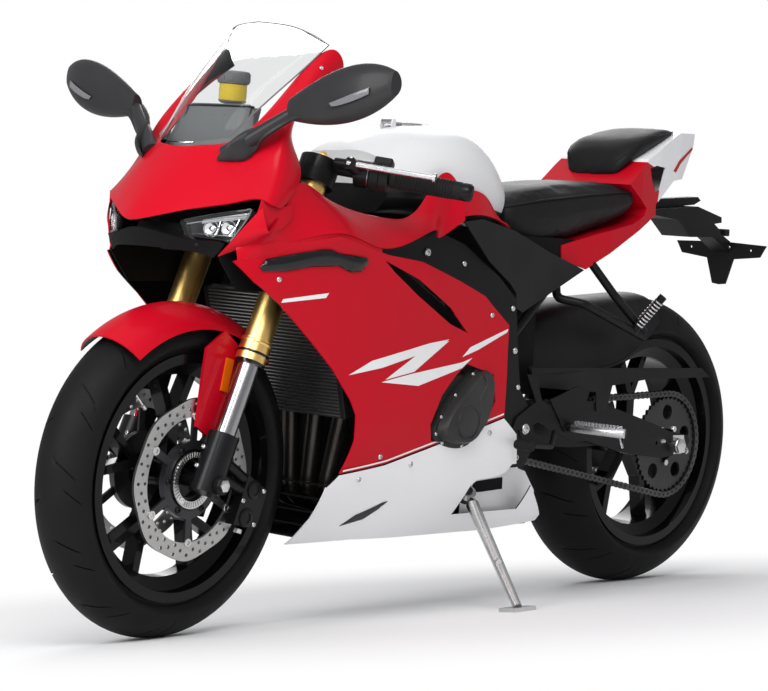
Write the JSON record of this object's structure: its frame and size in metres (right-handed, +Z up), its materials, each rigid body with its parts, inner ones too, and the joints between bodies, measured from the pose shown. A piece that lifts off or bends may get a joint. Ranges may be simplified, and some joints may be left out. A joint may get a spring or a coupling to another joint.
{
  "type": "sport bike",
  "caption": "Fully faired sport motorcycle leaning on its side stand, with turning wheels, steering, folding stand and hinged filler cap.",
  "frame": {"origin": "on the floor, under the middle of the box round the bike as it stands on its side stand", "axes": "+X forward, +Y to the rider's left, +Z up"},
  "size_m": [2.0179, 0.8488, 1.1283],
  "materials": {
    "red_paint": "deep candy red gloss lacquer",
    "white_paint": "white gloss lacquer",
    "black_plastic": "grained black moulding",
    "black_frame": "satin black paint",
    "engine_black": "dark grey casting paint",
    "radiator_black": "black finned core",
    "exhaust_steel": "dark heat-stained steel",
    "bright_steel": "plain steel",
    "chain_steel": "oiled steel",
    "caliper_black": "black anodised",
    "clear_screen": "clear moulded screen",
    "lamp_lens": "clear lens over a grey reflector",
    "seat_vinyl": "grained black vinyl",
    "gold_anodised": "gold anodised",
    "chrome_steel": "polished",
    "bright_aluminium": "bright machined",
    "grip_rubber": "ribbed black rubber",
    "amber_lens": "amber reflector",
    "tyre_rubber": "black road tyre",
    "wheel_black": "gloss black cast wheel",
    "disc_steel": "ground brake disc"
  },
  "bodies": {
    "chassis": {"frame": "black_frame", "rear_subframe": "black_frame", "engine": "engine_black", "engine_covers": "engine_black", "radiator": "radiator_black", "exhaust_headers": "exhaust_steel", "silencer": "exhaust_steel", "swingarm": "black_frame", "rear_axle": "bright_steel", "shock_absorber": "engine_black", "drive_chain": "chain_steel", "rear_hugger": "black_plastic", "rear_caliper": "caliper_black", "nose_cowl": "red_paint", "windscreen": "clear_screen", "headlamps": "lamp_lens", "nose_duct": "black_plastic", "upper_fairings": "red_paint", "side_fairings": "red_paint", "belly_panels": "white_paint", "belly_tray": "black_plastic", "mirrors": "black_plastic", "instrument_panel": "black_plastic", "fuel_tank": "white_paint", "tank_covers": "red_paint", "frame_covers": "black_plastic", "rider_seat": "seat_vinyl", "passenger_seat": "seat_vinyl", "tail_cowl": "white_paint", "plate_holder": "black_plastic", "footrests": "black_frame", "passenger_footrests": "black_frame"},
    "steering": {"fork_tubes": "gold_anodised", "fork_sliders": "chrome_steel", "fork_feet": "caliper_black", "triple_clamps": "bright_aluminium", "handlebars": "caliper_black", "grips": "grip_rubber", "switches": "black_plastic", "levers": "bright_aluminium", "brake_reservoir": "black_plastic", "front_fender": "red_paint", "reflectors": "amber_lens", "front_calipers": "caliper_black"},
    "front_wheel": {"front_tyre": "tyre_rubber", "front_rim": "wheel_black", "front_discs": "disc_steel"},
    "rear_wheel": {"rear_tyre": "tyre_rubber", "rear_rim": "wheel_black", "rear_disc": "disc_steel", "rear_sprocket": "bright_steel"},
    "side_stand": {"side_stand": "bright_steel"},
    "filler_cap": {"filler_cap": "bright_aluminium"}
  },
  "joints": [
    {"name": "steering_turn", "type": "hinge", "parent": "chassis", "child": "steering", "pos_m": [0.68196, -0.10221, 0.2854], "axis": [-0.3901, 0.1281, 0.9118], "range_deg": [-30.2, 21.8]},
    {"name": "front_wheel_spin", "type": "hinge", "parent": "steering", "child": "front_wheel", "pos_m": [0.70951, -0.0984, 0.29665], "axis": [-0.0675, 0.9836, -0.1671], "continuous": true},
    {"name": "rear_wheel_spin", "type": "hinge", "parent": "chassis", "child": "rear_wheel", "pos_m": [-0.67541, -0.09849, 0.31286], "axis": [-0.0001, 0.9903, -0.1392], "continuous": true},
    {"name": "side_stand_fold", "type": "hinge", "parent": "chassis", "child": "side_stand", "pos_m": [0.02672, 0.04077, 0.22572], "axis": [0.2402, 0.7226, 0.6481], "range_deg": [0, 105]},
    {"name": "filler_cap_open", "type": "hinge", "parent": "chassis", "child": "filler_cap", "pos_m": [0.15567, -0.00707, 0.96275], "axis": [-0.0001, 0.9903, -0.1392], "range_deg": [0, 95]}
  ]
}
